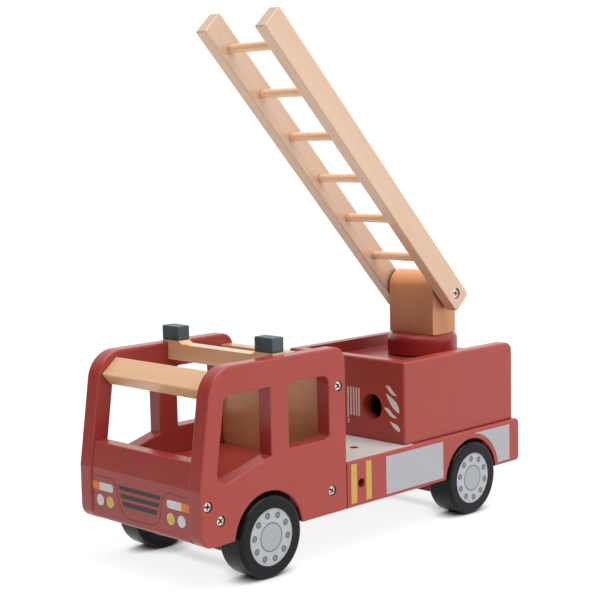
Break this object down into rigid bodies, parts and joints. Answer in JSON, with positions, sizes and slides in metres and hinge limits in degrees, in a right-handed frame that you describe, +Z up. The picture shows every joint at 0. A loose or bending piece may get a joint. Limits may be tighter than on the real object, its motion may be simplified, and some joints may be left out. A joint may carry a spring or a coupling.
{
  "type": "wooden toy fire engine",
  "caption": "Wooden toy fire engine with an open cab between windowed side panels, a rear box and a ladder that raises on a turning table.",
  "frame": {"origin": "on the ground, midway between the front edge of the cab panels and the back of the chassis block, on the centre line", "axes": "+X forward toward the cab, +Y to the toy's left side, +Z up"},
  "size_m": [0.28, 0.1088, 0.3159],
  "materials": {
    "red_paint": "satin painted wood",
    "dark_red_paint": "satin painted wood",
    "beech": "clear satin beech",
    "slate_paint": "satin painted wood",
    "hub_grey": "satin painted wood",
    "tyre": "matt rubber",
    "steel": "plated",
    "washer": "matt fibre"
  },
  "bodies": {
    "chassis": {"left_front_screw": "steel", "right_front_screw": "steel", "left_chassis_front_screw": "steel", "right_chassis_front_screw": "steel", "left_chassis_rear_screw": "steel", "right_chassis_rear_screw": "steel", "left_wall_screw": "steel", "right_wall_screw": "steel", "chassis_block": "red_paint", "left_side_panel": "red_paint", "right_side_panel": "red_paint", "front_panel": "red_paint", "visor_bar": "beech", "lamp_bar": "beech", "left_lamp_block": "slate_paint", "right_lamp_block": "slate_paint", "cab_back_wall": "beech", "left_box_wall": "red_paint", "right_box_wall": "red_paint", "front_box_wall": "red_paint", "rear_box_wall": "red_paint", "table_board": "red_paint", "front_axle_block": "dark_red_paint", "rear_axle_block": "dark_red_paint"},
    "front_wheelset": {"front_axle": "steel", "front_left_tyre": "tyre", "front_right_tyre": "tyre", "front_left_hub": "hub_grey", "front_right_hub": "hub_grey"},
    "rear_wheelset": {"rear_axle": "steel", "rear_left_tyre": "tyre", "rear_right_tyre": "tyre", "rear_left_hub": "hub_grey", "rear_right_hub": "hub_grey"},
    "turntable": {"turntable_disc": "dark_red_paint", "ladder_post": "beech", "left_pivot_screw": "steel", "right_pivot_screw": "steel", "left_pivot_washer": "washer", "right_pivot_washer": "washer"},
    "ladder": {"left_ladder_rail": "beech", "right_ladder_rail": "beech", "ladder_rung_1": "beech", "ladder_rung_2": "beech", "ladder_rung_3": "beech", "ladder_rung_4": "beech", "ladder_rung_5": "beech", "ladder_rung_6": "beech"}
  },
  "joints": [
    {"name": "front_axle_roll", "type": "hinge", "parent": "chassis", "child": "front_wheelset", "pos_m": [0.0898, 0, 0.0233], "axis": [0, 1, 0], "continuous": true},
    {"name": "rear_axle_roll", "type": "hinge", "parent": "chassis", "child": "rear_wheelset", "pos_m": [-0.0886, 0, 0.0233], "axis": [0, 1, 0], "continuous": true},
    {"name": "turntable_turn", "type": "hinge", "parent": "chassis", "child": "turntable", "pos_m": [-0.1045, 0, 0.0978], "axis": [0, 0, 1], "continuous": true},
    {"name": "ladder_hinge", "type": "hinge", "parent": "turntable", "child": "ladder", "pos_m": [-0.1045, 0, 0.1392], "axis": [0, -1, 0], "range_deg": [-49.3, 135.7]}
  ]
}
